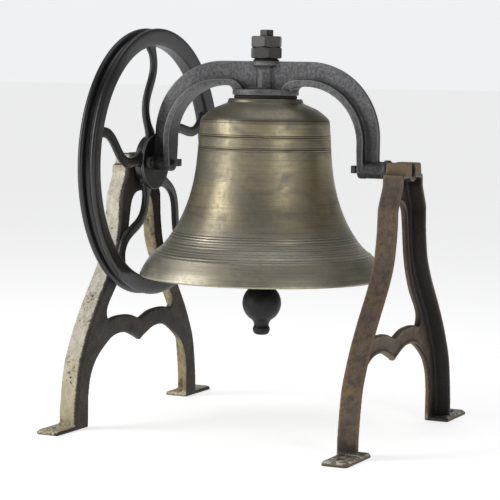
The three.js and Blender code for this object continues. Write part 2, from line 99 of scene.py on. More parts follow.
# stands, as the right one stands: inner face, outer edge of the foot, toe and top
FACE_X, FOOT_X = node_span("stand_right", X)
TOE_Y = node_span("stand_right", Y)[1]
HEAD_TOP = node_span("stand_right", Z)[1]
LEG_WEB, LEG_FLANGE, RIB = 13, 51, 13
SHELF_Z, HEAD_WIDE = 640, 53
HEEL_Y, SHIN_Y, FOOT_THICK = 260, 318, 12
TROUGH_R, TROUGH_OUTER = 12.4, 24
ROLL_R, ROLL_IN = 5.5, 5

# fasteners: bores, bolts and the hanger
BOLT_R, BOLT_BORE, JOURNAL_R, JOURNAL_BORE = 6, 6.3, 12, 12.3
HANGER_R, HANGER_BORE = 17, 17.3
THREAD_LOW, THREAD_TOP, STUB, STUB_TURN = 912, 966, 23, -20
HEAD_LOW, HEAD_HIGH, HEAD_R = 781.5, 791.4, 32
CLEVIS_R, CHEEK, CLEVIS_GAP = 18, 9, 18
COLLAR_R, COLLAR_END_LEFT, COLLAR_END_RIGHT, GUDGEON_BORE = 25, 338, 333, 26
HANGER_NUT, PIN_NUT = 70, 20
WHEEL_BOLT_Y, WHEEL_SQUARE, WHEEL_BOLT_HEAD, WHEEL_NUT = 45, 24, 7.5, 28
GUDGEON_SQUARE, GUDGEON_HEAD = 18.5, 11
NUT_X = -PLATE_X + PLATE_THICK + GAP

# clapper
BALL_Z, BALL_R, TAIL_R = 305, 48.5, 21.5

# ---- mesh building ----

UNIT_X, UNIT_Y, UNIT_Z = Vector((1, 0, 0)), Vector((0, 1, 0)), Vector((0, 0, 1))


def spline(points, steps):
    """Points of a smooth curve through the given ones, with steps pieces between neighbours."""
    knots = [Vector(point) for point in points]
    ends = [2 * knots[0] - knots[1]] + knots + [2 * knots[-1] - knots[-2]]
    result = []
    for before, start, end, after in zip(ends, ends[1:], ends[2:], ends[3:]):
        handle_a = start + (end - before) / 6
        handle_b = end - (after - start) / 6
        corners_3d = [point.to_3d() for point in (start, handle_a, handle_b, end)]
        piece = interpolate_bezier(*corners_3d, steps + 1)
        result += [tuple(point[:2]) for point in piece[:-1]]
    return result + [tuple(knots[-1])]


def arc(centre_a, centre_b, radius, start, end, steps):
    """Points of a circular arc, angles in degrees."""
    angles = [math.radians(start + (end - start) * i / steps) for i in range(steps + 1)]
    return [(centre_a + radius * math.cos(a), centre_b + radius * math.sin(a)) for a in angles]


def mirrored(points):
    """The run of points reflected in the first axis' zero, in reverse order."""
    return [(-a, b) for a, b in reversed(points)]


def directions(points, reach=1):
    """Unit direction of a run of points at each of them, from the neighbours within reach."""
    last = len(points) - 1
    pairs = [(points[max(i - reach, 0)], points[min(i + reach, last)]) for i in range(last + 1)]
    return [Vector((after[0] - before[0], after[1] - before[1])).normalized() for before, after in pairs]


def inset(points, distance):
    """The run of points moved sideways by a distance."""
    steps = zip(points, directions(points, 2))
    return [(a + along.y * distance, b - along.x * distance) for (a, b), along in steps]


def lathe(profile, steps, axis="Z", centre=(0, 0, 0)):
    """(radius, height) points turned about an axis: a ring, or a solid where they end on the axis."""
    mesh = bmesh.new()
    turns = [2 * math.pi * i / steps for i in range(steps)]
    rings = []
    for radius, height in profile:
        around = turns if radius else [0]
        rings.append([mesh.verts.new((radius * math.cos(a), radius * math.sin(a), height)) for a in around])
    ring_shaped = len(rings[0]) > 1
    following = rings[1:] + rings[:1] if ring_shaped else rings[1:]
    for low, high in zip(rings, following):
        for i in range(steps):
            j = (i + 1) % steps
            ring = [low[i % len(low)], low[j % len(low)], high[j % len(high)], high[i % len(high)]]
            unique = list(dict.fromkeys(ring))
            if len(unique) > 2:
                mesh.faces.new(unique)
    if axis == "X":
        mesh.transform(Matrix.Rotation(math.pi / 2, 4, "Y"))
    mesh.transform(Matrix.Translation(centre))
    bmesh.ops.recalc_face_normals(mesh, faces=mesh.faces)
    return mesh


def rod(radius, low, high, axis="Z", centre=(0, 0, 0), steps=48):
    """Plain rod between two heights along an axis."""
    return lathe([(0, low), (radius, low), (radius, high), (0, high)], steps, axis, centre)


def plate(outline, low, high, axis, holes=()):
    """Flat plate from an outline of two coordinates, between two heights along an axis."""
    curve = bpy.data.curves.new("outline", "CURVE")
    curve.dimensions = "2D"
    curve.fill_mode = "BOTH"
    curve.extrude = (high - low) / 2
    for points in (outline, *holes):
        run = curve.splines.new("POLY")
        run.points.add(len(points) - 1)
        run.use_cyclic_u = True
        for target, (a, b) in zip(run.points, points):
            target.co = (a, b, 0, 1)
    holder = bpy.data.objects.new("outline", curve)
    data = bpy.data.meshes.new_from_object(holder)
    mesh = bmesh.new()
    mesh.from_mesh(data)
    bpy.data.objects.remove(holder)
    bpy.data.curves.remove(curve)
    bpy.data.meshes.remove(data)
    bmesh.ops.remove_doubles(mesh, verts=mesh.verts, dist=0.01)
    mesh.transform(Matrix.Translation((0, 0, (low + high) / 2)))
    frames = {
        "X": Matrix((UNIT_Y, UNIT_Z, UNIT_X)).transposed(),
        "Y": Matrix((UNIT_X, UNIT_Z, -UNIT_Y)).transposed(),
        "Z": Matrix.Identity(3),
    }
    mesh.transform(frames[axis].to_4x4())
    bmesh.ops.recalc_face_normals(mesh, faces=mesh.faces)
    return mesh


def skin_rings(mesh, rings):
    """Faces between neighbouring rings of vertices, and a cap on each end."""
    for low, high in zip(rings, rings[1:]):
        for k in range(len(low)):
            j = (k + 1) % len(low)
            mesh.faces.new((low[k], low[j], high[j], high[k]))
    mesh.faces.new(rings[0][::-1])
    mesh.faces.new(rings[-1])
    bmesh.ops.recalc_face_normals(mesh, faces=mesh.faces)


def mesh_data(mesh, name):
    """The mesh as Blender's own mesh data; the original is freed."""
    data = bpy.data.meshes.new(name)
    mesh.to_mesh(data)
    mesh.free()
    return data


def joined(*meshes):
    """All shells in one mesh; the originals are freed."""
    result = bmesh.new()
    for mesh in meshes:
        data = mesh_data(mesh, "part")
        result.from_mesh(data)
        bpy.data.meshes.remove(data)
    return result


def moved(mesh, x=0, y=0, z=0, turn_x=0):
    """The mesh turned about X by an angle in degrees and then shifted."""
    mesh.transform(Matrix.Rotation(math.radians(turn_x), 4, "X"))
    mesh.transform(Matrix.Translation((x, y, z)))
    return mesh


def flipped(mesh, axis):
    """The mirror image of the mesh across the plane square to an axis."""
    result = mesh.copy()
    scale = [1, 1, 1]
    scale[axis] = -1
    result.transform(Matrix.Diagonal((*scale, 1)))
    bmesh.ops.reverse_faces(result, faces=result.faces)
    return result


def add_object(name, data):
    """A new object in the scene."""
    item = bpy.data.objects.new(name, data)
    bpy.context.scene.collection.objects.link(item)
    return item


def make_object(name, mesh):
    """Object in metres from a mesh in millimetres."""
    mesh.transform(Matrix.Scale(MM, 4))
    return add_object(name, mesh_data(mesh, name))


def apply_modifiers(item):
    """Puts the object's modifiers into its mesh."""
    graph = bpy.context.evaluated_depsgraph_get()
    data = bpy.data.meshes.new_from_object(item.evaluated_get(graph))
    old = item.data
    item.modifiers.clear()
    item.data = data
    bpy.data.meshes.remove(old)
    data.name = item.name


def combine(item, mesh, operation):
    """Cuts or intersects an object with a closed mesh in millimetres."""
    tool = make_object("tool", mesh)
    step = item.modifiers.new("combine", "BOOLEAN")
    step.operation = operation
    step.solver = "EXACT"
    step.object = tool
    apply_modifiers(item)
    bpy.data.objects.remove(tool)


def cut(item, *tools):
    """Subtracts closed meshes from an object."""
    for mesh in tools:
        combine(item, mesh, "DIFFERENCE")


def cast(item, voxel, softness, keep):
    """Melts overlapping shells into one skin with soft edges and fillets, as a sand casting has."""
    skin = item.modifiers.new("skin", "REMESH")
    skin.mode = "VOXEL"
    skin.voxel_size = voxel * MM
    soften = item.modifiers.new("soften", "SMOOTH")
    soften.factor = 0.5
    soften.iterations = softness
    thin = item.modifiers.new("thin", "DECIMATE")
    thin.ratio = keep
    apply_modifiers(item)


def crisp(item, width, angle=30):
    """Small machined bevels on the sharp edges."""
    item.data.shade_smooth()
    edge = item.modifiers.new("edge", "BEVEL")
    edge.width = width * MM
    edge.segments = 2
    edge.limit_method = "ANGLE"
    edge.angle_limit = math.radians(angle)
    edge.harden_normals = True
    apply_modifiers(item)


def smooth_faces(item):
    """Smooth shading that keeps the sharper edges crisp."""
    item.data.shade_smooth()
    item.data.set_sharp_from_angle(angle=math.radians(50))


def finish_piece(item, node, body, material):
    """Gives a piece its place in the frame and its finish."""
    item.data.materials.clear()
    item.data.materials.append(material)
    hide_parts(node)
    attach(item, body)


# ---- materials ----


class Paint:
    """A material's node tree, built by short calls."""

    def __init__(self, name):
        self.material = bpy.data.materials.new(name)
        self.material.use_nodes = True
        self.tree = self.material.node_tree
        self.shader = self.tree.nodes["Principled BSDF"]
        self.place = self.node("ShaderNodeTexCoord").outputs["Object"]

    def node(self, kind, **settings):
        """A new node with its settings."""
        made = self.tree.nodes.new(kind)
        for key, value in settings.items():
            setattr(made, key, value)
        return made

    def put(self, socket, value):
        """Links an output to a socket, or sets the socket to a plain value."""
        if isinstance(value, bpy.types.NodeSocket):
            self.tree.links.new(value, socket)
        else:
            socket.default_value = value

    def stretched(self, x, y, z):
        """The place on the object with a scale for each direction."""
        node = self.node("ShaderNodeMapping")
        self.put(node.inputs["Vector"], self.place)
        node.inputs["Scale"].default_value = (x, y, z)
        return node.outputs["Vector"]

    def noise(self, scale, detail, rough, vector=None, warp=0.0):
        """Cloudy pattern around 0.5; without a vector its scale is in lumps per metre."""
        node = self.node("ShaderNodeTexNoise")
        self.put(node.inputs["Vector"], vector or self.place)
        node.inputs["Scale"].default_value = scale
        node.inputs["Detail"].default_value = detail
        node.inputs["Roughness"].default_value = rough
        node.inputs["Distortion"].default_value = warp
        return node.outputs["Fac"]

    def fade(self, value, low, high, start=0.0, end=1.0):
        """Goes smoothly from start to end as the value goes from low to high."""
        node = self.node("ShaderNodeMapRange", interpolation_type="SMOOTHSTEP")
        for socket, setting in zip(node.inputs, (value, low, high, start, end)):
            self.put(socket, setting)
        return node.outputs["Result"]

    def math(self, operation, *values):
        """A Math node's result."""
        node = self.node("ShaderNodeMath", operation=operation)
        for socket, value in zip(node.inputs, values):
            self.put(socket, value)
        return node.outputs["Value"]

    def times(self, a, b):
        return self.math("MULTIPLY", a, b)

    def plus(self, a, b):
        return self.math("ADD", a, b)

    def most(self, a, b):
        return self.math("MAXIMUM", a, b)

    def mix(self, amount, a, b):
        """Colour a where the amount is 0 and b where it is 1."""
        node = self.node("ShaderNodeMix", data_type="RGBA")
        self.put(node.inputs["Factor"], amount)
        for socket, value in ((node.inputs[6], a), (node.inputs[7], b)):
            self.put(socket, value if isinstance(value, bpy.types.NodeSocket) else (*value, 1.0))
        return node.outputs[2]

    def coordinate(self, source, axis):
        """One coordinate of a vector."""
        node = self.node("ShaderNodeSeparateXYZ")
        self.put(node.inputs[0], source)
        return node.outputs[axis]

    def along(self, axis):
        """One coordinate of the place on the object, in metres."""
        return self.coordinate(self.place, axis)

    def facing(self, axis):
        """One coordinate of the surface's direction."""
        return self.coordinate(self.node("ShaderNodeTexCoord").outputs["Normal"], axis)

    def shelter(self, distance):
        """1 in the open and 0 deep in a corner."""
        node = self.node("ShaderNodeAmbientOcclusion", samples=6, only_local=True)
        node.inputs["Distance"].default_value = distance
        return node.outputs["AO"]

    def ridge(self, low, high, top):
        """Rises to top on edges that stand out, where the finish has worn."""
        return self.fade(self.node("ShaderNodeNewGeometry").outputs["Pointiness"], low, high, 0.0, top)

    def relief(self, *layers):
        """Surface relief from layers of a pattern, a depth in metres and a strength."""
        normal = None
        for pattern, depth, strength in layers:
            node = self.node("ShaderNodeBump")
            for name, value in (("Height", pattern), ("Distance", depth), ("Strength", strength)):
                self.put(node.inputs[name], value)
            if normal is not None:
                self.put(node.inputs["Normal"], normal)
            normal = node.outputs["Normal"]
        return normal

    def finish(self, colour, rough, metallic, normal, gloss=0.5):
        """Connects the shader and gives the finished material."""
        self.put(self.shader.inputs["Base Color"], colour)
        self.put(self.shader.inputs["Roughness"], rough)
        self.put(self.shader.inputs["Normal"], normal)
        self.shader.inputs["Metallic"].default_value = metallic
        self.shader.inputs["Specular IOR Level"].default_value = gloss
        return self.material


def bronze():
    """Turned bronze: fine level tool lines, golden where handled, brown and grey where tarnished; the grey
    flare is painted lighter as a highlight and the shoulder darker as painted shade.
    """
    golden, olive, brown = (0.41, 0.355, 0.23), (0.235, 0.218, 0.168), (0.14, 0.12, 0.09)
    # The flare's light grey holds a painted highlight and the shoulder's dark tone painted shade.
    flare, lip, shoulder = (0.55, 0.515, 0.44), (0.40, 0.37, 0.28), (0.225, 0.207, 0.163)
    groove, dull, dark = (0.06, 0.05, 0.035), (0.21, 0.185, 0.135), (0.095, 0.085, 0.065)
    paint = Paint("turned_bronze")
    fine = paint.noise(1.0, 3, 0.6, paint.stretched(9, 9, 1300))
    bands = paint.noise(1.0, 4, 0.6, paint.stretched(6, 6, 260))
    broad = paint.noise(9, 5, 0.6, paint.stretched(1, 1, 1.6), warp=0.6)
    spots = paint.noise(90, 4, 0.7)
    height = paint.along("Z")
    colour = paint.mix(paint.fade(broad, 0.35, 0.68), golden, olive)
    # Painted highlight: the flare is lighter, as its upward faces would catch the light from above.
    colour = paint.mix(paint.fade(height, (LIP_TOP_Z + 2) * MM, FLARE_TOP_Z * MM, 0.85, 0.0), colour, flare)
    colour = paint.mix(paint.fade(height, (LIP_TOP_Z - 2) * MM, (LIP_TOP_Z + 2) * MM, 0.7, 0.0), colour, lip)
    # Painted shade: the shoulder is darker, for the dim light it reflects from above.
    painted_shade_at_top = paint.fade(height, (SHOULDER_Z - 4) * MM, (SHOULDER_Z + 4) * MM, 0.0, 0.75)
    colour = paint.mix(painted_shade_at_top, colour, shoulder)
    tarnish = ((bands, 0.48, 0.74, 0.5), (fine, 0.45, 0.75, 0.3), (spots, 0.56, 0.74, 0.45))
    for pattern, low, high, amount in tarnish:
        colour = paint.mix(paint.fade(pattern, low, high, 0.0, amount), colour, brown)
    for level, _, half in BEADS:
        offset = paint.math("ABSOLUTE", paint.math("SUBTRACT", height, level * MM))
        edge = paint.math("ABSOLUTE", paint.math("SUBTRACT", offset, 1.7 * half * MM))
        amount = 0.6 if level > FLARE_TOP_Z else 0.42
        colour = paint.mix(paint.fade(edge, 0.2 * half * MM, 1.1 * half * MM, amount, 0.0), colour, groove)
    outward = paint.plus(paint.times(paint.along("X"), paint.facing("X")),
                         paint.times(paint.along("Y"), paint.facing("Y")))
    inside = paint.fade(outward, -0.01, -0.06)
    unturned = paint.mix(paint.fade(paint.noise(40, 6, 0.7), 0.40, 0.66), dull, dark)
    colour = paint.mix(paint.times(inside, 0.8), colour, unturned)
    rough = paint.fade(paint.plus(broad, spots), 0.8, 1.25, 0.40, 0.56)
    rough = paint.plus(rough, paint.times(inside, 0.12))
    normal = paint.relief((fine, 0.0001, 0.4), (bands, 0.0004, 0.25), (spots, 0.0002, 0.2))
    return paint.finish(colour, rough, 0.92, normal)


def casting(name, dark, light, rough, metallic, gloss=0.5, wear=0.45, with_plate=False):
    """Sand-cast iron: grainy, speckled, lighter on its edges, with painted shade in its corners; the yoke has
    black on its plate and legs.
    """
    rubbed, painted_shade_colour = [value * 1.7 for value in light], [value * 0.25 for value in dark]
    paint = Paint(name)
    grain = paint.noise(420, 3, 0.65)
    speck = paint.noise(170, 4, 0.7)
    mottle = paint.noise(30, 5, 0.65, warp=0.4)
    colour = paint.mix(paint.fade(speck, 0.36, 0.66), dark, light)
    colour = paint.mix(paint.fade(mottle, 0.40, 0.70, 0.0, 0.4), colour, dark)
    colour = paint.mix(paint.fade(grain, 0.56, 0.78, 0.0, 0.35), colour, light)
    if with_plate:
        # Darker towards the bottom: below the arch top the yoke blends partly to the wheel's black.
        darkening = paint.fade(paint.along("Z"), 0.70, 0.83, 0.55, 0.0)
        plate_edge = PLATE_X - PLATE_THICK - 5
        plated = paint.fade(paint.along("X"), -(plate_edge + 1) * MM, -(plate_edge - 1) * MM, 0.95, 0.0)
        colour = paint.mix(paint.most(darkening, plated), colour, WHEEL_BLACK)
    colour = paint.mix(paint.ridge(0.505, 0.535, wear), colour, rubbed)
    # Painted shade: darker in corners and recesses, from the occlusion.
    colour = paint.mix(paint.fade(paint.shelter(0.035), 0.90, 0.40, 0.0, 0.88), colour, painted_shade_colour)
    normal = paint.relief((grain, 0.0005, 0.6), (speck, 0.0012, 0.4))
    return paint.finish(colour, paint.fade(speck, 0.3, 0.7, rough, rough + 0.15), metallic, normal, gloss)


def painted_left():
    """Peeling cream paint on the faces across the stand and outside, bare brown iron on the inner side."""
    iron_dark, iron_light = (0.022, 0.016, 0.012), (0.060, 0.047, 0.036)
    pit, darkest_brown = (0.14, 0.11, 0.07), (0.030, 0.024, 0.016)
    cream_light, cream_dark, stained = (0.74, 0.69, 0.585), (0.49, 0.45, 0.36), (0.44, 0.38, 0.21)
    mossy, stain = (0.37, 0.32, 0.14), (0.25, 0.20, 0.12)
    olive_light, olive_dark = (0.34, 0.27, 0.12), (0.15, 0.12, 0.06)
    foot_light, foot_dark = (0.66, 0.60, 0.46), (0.36, 0.29, 0.13)
    paint = Paint("peeling_cream_paint")
    speck = paint.noise(170, 4, 0.7)
    blotch = paint.noise(20, 6, 0.7, warp=0.6)
    streak = paint.noise(1.0, 5, 0.7, paint.stretched(90, 90, 26), warp=0.5)
    grain = paint.noise(600, 3, 0.6)
    height = paint.along("Z")
    foot = paint.fade(height, FOOT_THICK * MM, (FOOT_THICK + 10) * MM, 1.0, 0.0)
    rear = paint.fade(paint.along("Y"), 0.0, 0.01, 0.0, 0.85)
    iron = paint.mix(paint.fade(blotch, 0.35, 0.65), iron_dark, iron_light)
    cream = paint.mix(paint.fade(streak, 0.34, 0.66), cream_light, cream_dark)
    cream = paint.mix(paint.fade(blotch, 0.46, 0.66, 0.0, 0.5), cream, stained)
    cream = paint.mix(paint.fade(height, 0.02, 0.26, 0.6, 0.0), cream, mossy)
    cream = paint.mix(paint.fade(paint.noise(48, 6, 0.75, warp=0.8), 0.54, 0.70, 0.0, 0.6), cream, stain)
    cream = paint.mix(rear, cream, paint.mix(paint.fade(blotch, 0.38, 0.62), olive_light, olive_dark))
    scuffed = paint.mix(paint.fade(speck, 0.42, 0.58), foot_light, foot_dark)
    cream = paint.mix(paint.times(foot, 0.85), cream, scuffed)
    edge_on = paint.fade(paint.math("ABSOLUTE", paint.facing("Y")), 0.45, 0.80)
    worn = paint.plus(paint.along("X"), paint.times(speck, 0.012))
    worn = paint.plus(worn, paint.fade(height, 0.25, 0.60, 0.0, 0.004))
    off_web = paint.fade(worn, -(FACE_X + 5) * MM, -FACE_X * MM, 1.0, 0.0)
    at_foot = paint.times(paint.fade(paint.facing("Z"), 0.5, 0.8), foot)
    outside = paint.fade(paint.facing("X"), -0.5, -0.8, 0.0, 0.85)
    cover = paint.most(paint.times(edge_on, paint.most(off_web, rear)), outside)
    cover = paint.most(cover, at_foot)
    chips = paint.fade(paint.plus(speck, paint.times(blotch, 0.6)), 0.90, 0.98, 1.0, 0.0)
    cover = paint.times(cover, chips)
    colour = paint.mix(cover, iron, cream)
    colour = paint.mix(paint.fade(paint.noise(300, 2, 0.5), 0.62, 0.76, 0.0, 0.55), colour, pit)
    # Painted shade in the corners from the occlusion, and darker over the lowest few millimetres.
    shade_and_bottom_dark = paint.fade(paint.shelter(0.03), 0.85, 0.35, 0.0, 0.8)
    shade_and_bottom_dark = paint.most(shade_and_bottom_dark, paint.fade(height, 0.002, 0.008, 0.6, 0.0))
    colour = paint.mix(shade_and_bottom_dark, colour, darkest_brown)
    normal = paint.relief((grain, 0.0004, 0.5), (cover, 0.0007, 0.6), (blotch, 0.002, 0.35))
    return paint.finish(colour, paint.fade(speck, 0.3, 0.7, 0.6, 0.85), 0.0, normal)


def painted_right():
    """Worn olive-brown paint over rust, painted shade inside the channels, ochre on the bearing head."""
    olive_dark, olive_light, purple = (0.052, 0.038, 0.026), (0.122, 0.092, 0.060), (0.088, 0.064, 0.056)
    ochre, rust = (0.21, 0.125, 0.038), (0.105, 0.048, 0.022)
    orange, red = (0.23, 0.125, 0.032), (0.20, 0.085, 0.030)
    top, sole, flake = (0.19, 0.130, 0.062), (0.30, 0.25, 0.18), (0.70, 0.68, 0.62)
    rubbed, painted_shade_brown = (0.21, 0.16, 0.10), (0.0075, 0.0042, 0.0028)
    darkest_brown, pit = (0.03, 0.022, 0.014), (0.045, 0.033, 0.02)
    paint = Paint("worn_olive_paint")
    speck = paint.noise(190, 4, 0.7)
    blotch = paint.noise(18, 6, 0.7, warp=0.6)
    streak = paint.noise(55, 6, 0.75, warp=0.3)
    grain = paint.noise(600, 3, 0.6)
    height, across = paint.along("Z"), paint.along("X")
    colour = paint.mix(paint.fade(streak, 0.36, 0.62), olive_dark, olive_light)
    colour = paint.mix(paint.fade(blotch, 0.42, 0.66, 0.0, 0.6), colour, purple)
    patches = paint.fade(paint.noise(30, 6, 0.75), 0.50, 0.64)
    colour = paint.mix(paint.times(patches, paint.fade(height, 0.10, 0.35, 0.85, 0.3)), colour, ochre)
    colour = paint.mix(paint.fade(paint.noise(34, 6, 0.75), 0.56, 0.70, 0.0, 0.55), colour, rust)
    near_web = paint.plus(across, paint.times(speck, 0.014))
    near_web = paint.fade(near_web, (FACE_X + 8.5) * MM, (FACE_X + 17.5) * MM, 0.8, 0.0)
    near_web = paint.times(near_web, paint.fade(height, 0.15, 0.40, 1.0, 0.3))
    near_web = paint.times(near_web, paint.fade(streak, 0.35, 0.60, 0.25, 1.0))
    colour = paint.mix(near_web, colour, orange)
    outer_x = FACE_X + LEG_FLANGE
    at_rim = paint.plus(across, paint.times(streak, 0.020))
    at_rim = paint.fade(at_rim, (outer_x + 1.5) * MM, (outer_x + 13.5) * MM, 0.0, 0.6)
    colour = paint.mix(paint.times(at_rim, paint.fade(height, 0.5, 0.3)), colour, red)
    head = paint.fade(height, (SHELF_Z - 8) * MM, (SHELF_Z + 6) * MM, 0.0, 0.7)
    colour = paint.mix(head, colour, top)
    foot = paint.fade(height, (FOOT_THICK - 2) * MM, (FOOT_THICK + 13) * MM, 1.0, 0.0)
    colour = paint.mix(paint.times(foot, 0.8), colour, sole)
    flakes = paint.fade(paint.noise(80, 3, 0.5), 0.525, 0.56)
    level = paint.times(foot, paint.fade(paint.facing("Z"), 0.4, 0.7))
    colour = paint.mix(paint.times(flakes, level), colour, flake)
    # Painted shade: the flange's inner faces past the web and the sheltered corners go nearly black.
    inward = paint.fade(paint.times(paint.along("Y"), paint.facing("Y")), -0.012, -0.045)
    channel = paint.times(inward, paint.fade(across, (FACE_X + 9) * MM, (FACE_X + 11.5) * MM))
    darkening = paint.most(channel, paint.fade(paint.shelter(0.07), 0.97, 0.62))
    colour = paint.mix(paint.ridge(0.503, 0.53, 0.5), colour, rubbed)
    colour = paint.mix(paint.times(darkening, 0.97), colour, painted_shade_brown)
    # Darker over the lowest few millimetres.
    colour = paint.mix(paint.fade(height, 0.002, 0.009, 0.85, 0.0), colour, darkest_brown)
    colour = paint.mix(paint.fade(paint.noise(300, 2, 0.5), 0.63, 0.75, 0.0, 0.65), colour, pit)
    normal = paint.relief((grain, 0.0004, 0.5), (speck, 0.0007, 0.35), (blotch, 0.002, 0.35))
    return paint.finish(colour, paint.fade(speck, 0.3, 0.7, 0.5, 0.75), 0.1, normal)


def leather():
    """Dark compressed leather of the gasket."""
    paint = Paint("gasket_leather")
    fibre = paint.noise(1.0, 4, 0.6, paint.stretched(90, 90, 1400))
    colour = paint.mix(fibre, (0.012, 0.009, 0.007), (0.05, 0.04, 0.03))
    return paint.finish(colour, 0.85, 0.0, paint.relief((fibre, 0.0004, 0.6)))


# ---- bell ----

BEADS = (  # height of the line, how far it stands proud and its half width
    (757.0, 1.0, 1.7),
    (722.5, 1.0, 1.3), (718.0, 0.7, 1.1),
    (693.0, 0.7, 1.1), (688.5, 1.0, 1.3),
    (481.0, 0.5, 1.3), (475.0, 0.8, 1.5), (469.0, 0.5, 1.3),
    (457.0, 0.5, 1.4),
    (443.0, 0.4, 1.4),
    (431.5, 0.8, 1.5),
)


def raised(point, towards):
    """A point of the bell's outline lifted by the raised lines and sunk beside them."""
    lift = 0.0
    for height, proud, half in BEADS:
        offset = (point[1] - height) / half
        lift += proud * math.exp(-offset * offset)
        lift -= 0.6 * proud * math.exp(-((abs(offset) - 2.1) ** 2) * 1.6)
    return point[0] + towards[0] * lift, point[1] + towards[1] * lift


def with_lines(outline):
    """The outline with the turned lines added along its outward side."""
    return [raised(point, (-along.y, along.x)) for point, along in zip(outline, directions(outline))]


def bell_profile():
    """Ring profile of the bell, from the crown's bore round the outside and back up the inside."""
    top = [(CROWN_BORE, CROWN_Z), (CROWN_R - 2, CROWN_Z), (CROWN_R, CROWN_Z - 1.2),
           (CROWN_R + 1.5, CROWN_Z - 6), (CROWN_R + 3, CROWN_Z - 10.5)]
    shoulder = spline([(97, 800), (109, 795), (129, 786), (148, 772), (157, 763), (160, SHOULDER_Z)], 8)
    waist = spline([(160.2, 755), (163, 718), (166, 675), (171, 629), (180, 584), (194, 540), (215, 495),
                    (245, 452), (273, LIP_TOP_Z)], 40)
    lip = spline([(275.5, 426), (281, 417.5), (295, 396), (303, 380)], 6)
    mouth = [(MOUTH_R, MOUTH_Z + 4), (MOUTH_R - 0.6, MOUTH_Z + 1.2), (MOUTH_R - 2.5, MOUTH_Z),
             (MOUTH_R - 20, MOUTH_Z), (MOUTH_R - 23, MOUTH_Z + 1.5)]
    inside = spline([(276, 380), (262, 400), (250, 425), (227, 452), (200, 495), (180, 540), (166, 584),
                     (157, 629), (152, 675), (148, 735), (142, 757), (126, 777), (106, 790),
                     (90, CROWN_Z - BELL_WALL)], 6)
    under = [(CROWN_BORE, CROWN_Z - BELL_WALL)]
    return top + shoulder + with_lines(waist) + lip + mouth + inside + under


def make_bell():
    """The bell, turned from its profile."""
    item = make_object("bell_shell", lathe(bell_profile(), 180))
    smooth_faces(item)
    finish_piece(item, "bell", "bell", bronze())


# ---- yoke ----


def yoke_web():
    """Upright web of the arch, from leg to leg."""
    outer = [(LEG_X, AXIS_Z)] + arc(ARCH_X, ARCH_Z, LEG_X - ARCH_X, 0, 90, 48)
    inner = [(EYE_X + 2, AXIS_Z)] + arc(ARCH_X, INNER_Z, INNER_R + 2, 0, 90, 40)
    inner += [(87, INNER_Z + INNER_R + 2), (74, DISC_TOP - 1)]
    outline = outer + mirrored(outer) + mirrored(inner[::-1]) + inner[::-1]
    return plate(outline, -WEB / 2, WEB / 2, "Y")


def yoke_flange():
    """Wide flange under the right half of the arch, which runs out on the foot."""
    under, over = INNER_Z + INNER_R, INNER_Z + INNER_R + FLANGE
    outline = arc(ARCH_X, INNER_Z, INNER_R, 0, 90, 40)
    outline += spline([(92, under), (84, under - 3), (79, DISC_TOP - 2)], 5)
    outline += spline([(50, DISC_TOP - 2), (60, 846), (72, 855), (90, over)], 8)
    outline += arc(ARCH_X, INNER_Z, INNER_R + FLANGE, 90, 0, 40)
    return plate(outline, -FLANGE_WIDE / 2, FLANGE_WIDE / 2, "Y")


def yoke_leg_foot():
    """Lower end of the right flange, rounded about the rocking axis."""
    wide = FLANGE_WIDE / 2
    outline = [(-wide, INNER_Z + 1), (-wide, 690)] + arc(0, AXIS_Z, EYE_R + 1, 180, 360, 32)
    outline += [(wide, 690), (wide, INNER_Z + 1)]
    return plate(outline, EYE_X, EYE_X + FLANGE, "X")


def wheel_plate():
    """Round plate that carries the wheel."""
    return rod_x(PLATE_R, -PLATE_X, -PLATE_X + PLATE_THICK, 96)


def plate_pockets():
    """Two quarter-round pockets in the upper half of the wheel plate, beside the leg."""
    base, radius, rib = AXIS_Z + 16, PLATE_R - 14, 9
    inner_x = -PLATE_X + PLATE_THICK
    quarter = [(rib, base)] + arc(0, base - 12, radius, 12, 80, 20)
    return [plate(outline, inner_x - 6, inner_x + 5, "X") for outline in (quarter, mirrored(quarter))]


def turned_x(points, steps=64):
    """(radius, x) points turned about the rocking axis."""
    return lathe(points, steps, "X", (0, 0, AXIS_Z))


def rod_x(radius, low, high, steps=48):
    """Rod along the rocking axis."""
    return rod(radius, low, high, "X", (0, 0, AXIS_Z), steps)


